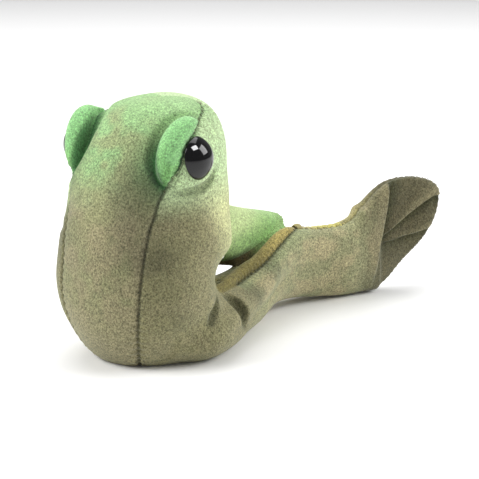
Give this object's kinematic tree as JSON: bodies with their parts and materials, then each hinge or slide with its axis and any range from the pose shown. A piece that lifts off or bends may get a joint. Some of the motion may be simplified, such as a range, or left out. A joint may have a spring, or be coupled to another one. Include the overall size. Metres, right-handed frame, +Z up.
{
  "type": "hand puppet",
  "caption": "Plush tadpole finger puppet that sits upright, with a sleeve for the finger, glossy eyes and a folded tail that ends in a fin.",
  "frame": {"origin": "centre of the flat seat, on the surface that the puppet sits on", "axes": "+X forward along the tail, +Y the puppet's left, +Z up"},
  "size_m": [0.1492, 0.0806, 0.083],
  "materials": {
    "back_plush": "short velour pile, mottled tan and olive, green at the crown",
    "side_plush": "short velour pile, olive brown",
    "green_plush": "short velour pile, airbrushed bright green",
    "belly_plush": "short velour pile, ochre",
    "hem_plush": "rolled velour edge, dull ochre",
    "lining": "thin woven cloth",
    "stuffing": "loose polyester fibre",
    "eye_black": "high gloss black",
    "washer_grey": "moulded, matte",
    "thread": "sewing thread"
  },
  "bodies": {
    "body": {"seat_panel": "side_plush", "back_panel": "back_plush", "right_flank": "side_plush", "left_flank": "side_plush", "belly_panel": "belly_plush", "body_stuffing": "stuffing", "lower_pocket": "lining"},
    "head": {"crown_panel": "green_plush", "right_cheek": "green_plush", "left_cheek": "green_plush", "throat_panel": "belly_plush", "head_stuffing": "stuffing", "upper_pocket": "lining", "right_eyelid": "green_plush", "left_eyelid": "green_plush", "right_eye": "eye_black", "left_eye": "eye_black", "right_eye_washer": "washer_grey", "left_eye_washer": "washer_grey"},
    "sleeve": {"finger_sleeve": "green_plush", "sleeve_lining": "lining", "sleeve_hem": "hem_plush"},
    "tail_root": {"tail_root_right_panel": "side_plush", "tail_root_left_panel": "side_plush", "tail_root_top_strip": "belly_plush", "tail_root_stuffing": "stuffing", "tail_hem_roll": "hem_plush", "tail_bartack": "thread"},
    "tail_tip": {"tail_tip_right_panel": "side_plush", "tail_tip_left_panel": "side_plush", "tail_tip_top_strip": "belly_plush", "tail_tip_stuffing": "stuffing"},
    "fin": {"fin_right_face": "side_plush", "fin_left_face": "side_plush", "fin_core": "stuffing"}
  },
  "joints": [
    {"name": "head_nod", "type": "hinge", "parent": "body", "child": "head", "pos_m": [0, 0, 0.024], "axis": [0, 1, 0], "range_deg": [-12, 6], "stiffness_Nm_per_rad": 0.08},
    {"name": "sleeve_lift", "type": "hinge", "parent": "body", "child": "sleeve", "pos_m": [0.0286, 0, 0.0449], "axis": [0, -1, 0], "range_deg": [0, 25], "stiffness_Nm_per_rad": 0.01},
    {"name": "tail_fold", "type": "hinge", "parent": "body", "child": "tail_root", "pos_m": [0.0135, 0, 0.0115], "axis": [0, 1, 0], "range_deg": [0, 35], "stiffness_Nm_per_rad": 0.03},
    {"name": "tail_wag", "type": "hinge", "parent": "tail_root", "child": "tail_tip", "pos_m": [0.066, -0.0136, 0.014], "axis": [0, 0, 1], "range_deg": [-15, 20], "stiffness_Nm_per_rad": 0.02},
    {"name": "fin_flap", "type": "hinge", "parent": "tail_tip", "child": "fin", "pos_m": [0.101, -0.035, 0.02], "axis": [0, 0, 1], "range_deg": [-25, 25], "stiffness_Nm_per_rad": 0.005}
  ]
}
